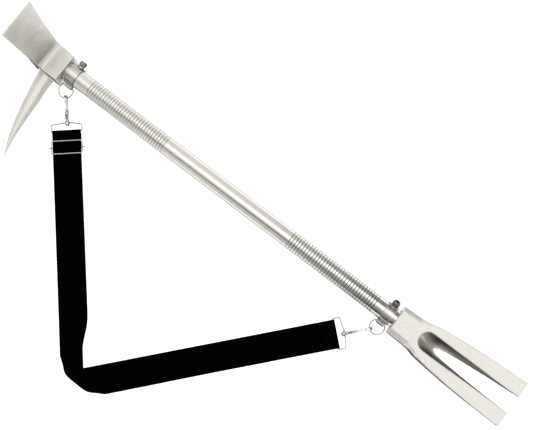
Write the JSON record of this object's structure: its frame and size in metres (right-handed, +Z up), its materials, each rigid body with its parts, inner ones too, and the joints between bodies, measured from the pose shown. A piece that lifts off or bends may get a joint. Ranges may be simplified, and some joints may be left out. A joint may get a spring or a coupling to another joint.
{
  "type": "halligan bar",
  "caption": "Forcible-entry bar with an adze and pike at one end, a forked pry end at the other, and a clip-on webbing sling lying beside it.",
  "frame": {"origin": "on the ground under the middle of the bar's own bounding box, the sling left out", "axes": "+X along the shaft from the adze and pike head to the fork, +Z up along the adze, -Y along the pike and towards the sling"},
  "size_m": [0.762, 0.3489, 0.148],
  "materials": {
    "forged": "satin plated forging",
    "shaft": "polished, with turned grip grooves",
    "bright_metal": "bright plated steel",
    "dark_screw": "dark steel",
    "webbing": "flat black woven webbing"
  },
  "bodies": {
    "bar": {"shaft": "shaft", "head_forging": "forged", "fork_forging": "forged", "head_drive_pin": "dark_screw", "fork_drive_pin": "dark_screw", "head_clamp_band": "bright_metal", "fork_clamp_band": "bright_metal", "head_clamp_screw": "dark_screw", "fork_clamp_screw": "dark_screw"},
    "head_ring": {"head_d_ring": "bright_metal"},
    "fork_ring": {"fork_d_ring": "bright_metal"},
    "sling": {"strap_webbing": "webbing", "strap_return": "webbing", "head_strap_loop": "bright_metal", "fork_strap_loop": "bright_metal"},
    "head_hook": {"head_hook_body": "bright_metal", "head_gate_pin": "bright_metal", "head_gate_spring": "bright_metal"},
    "fork_hook": {"fork_hook_body": "bright_metal", "fork_gate_pin": "bright_metal", "fork_gate_spring": "bright_metal"},
    "head_gate": {"head_hook_gate": "bright_metal"},
    "fork_gate": {"fork_hook_gate": "bright_metal"},
    "adjuster_bar": {"adjuster_bar": "bright_metal"},
    "adjuster_frame": {"adjuster_frame": "bright_metal"}
  },
  "joints": [
    {"name": "head_ring_swing", "type": "hinge", "parent": "bar", "child": "head_ring", "pos_m": [-0.3241, 0.03845, 0.0112], "axis": [-1, 0, 0], "range_deg": [-90, 60]},
    {"name": "fork_ring_swing", "type": "hinge", "parent": "bar", "child": "fork_ring", "pos_m": [0.1928, 0.03845, 0.0112], "axis": [-1, 0, 0], "range_deg": [-90, 60]},
    {"name": "sling_swing", "type": "hinge", "parent": "head_ring", "child": "sling", "pos_m": [-0.318, 0.02408, 0.00867], "axis": [-1, 0, 0], "range_deg": [-30, 30]},
    {"name": "head_hook_swivel", "type": "hinge", "parent": "sling", "child": "head_hook", "pos_m": [-0.29598, -0.00154, 0.00484], "axis": [-0.6477, 0.7535, 0.1126], "range_deg": [-8, 8]},
    {"name": "fork_hook_swivel", "type": "hinge", "parent": "sling", "child": "fork_hook", "pos_m": [0.16415, -0.00108, 0.00484], "axis": [0.6634, 0.7398, 0.1126], "range_deg": [-8, 8]},
    {"name": "head_gate_swing", "type": "hinge", "parent": "head_hook", "child": "head_gate", "pos_m": [-0.30379, 0.00754, 0.01012], "axis": [-0.7583, -0.6519, 0], "range_deg": [0, 20], "stiffness_Nm_per_rad": 0.02, "springref_deg": -28.65, "deforming": ["head_gate_spring"]},
    {"name": "fork_gate_swing", "type": "hinge", "parent": "fork_hook", "child": "fork_gate", "pos_m": [0.17215, 0.00784, 0.01012], "axis": [-0.7445, 0.6676, 0], "range_deg": [0, 20], "stiffness_Nm_per_rad": 0.02, "springref_deg": -28.65, "deforming": ["fork_gate_spring"]},
    {"name": "adjuster_slide", "type": "slide", "parent": "sling", "child": "adjuster_bar", "axis": [0.6517, -0.7582, -0.0194], "range_m": [0, 0.2], "deforming": ["strap_return"]},
    {"name": "adjuster_frame_slide", "type": "slide", "parent": "adjuster_bar", "child": "adjuster_frame", "axis": [0.6517, -0.7582, -0.0194], "range_m": [-0.005, 0.005]}
  ],
  "couplings": [
    {"joint": "fork_ring_swing", "follows": "head_ring_swing", "ratio": 1}
  ]
}
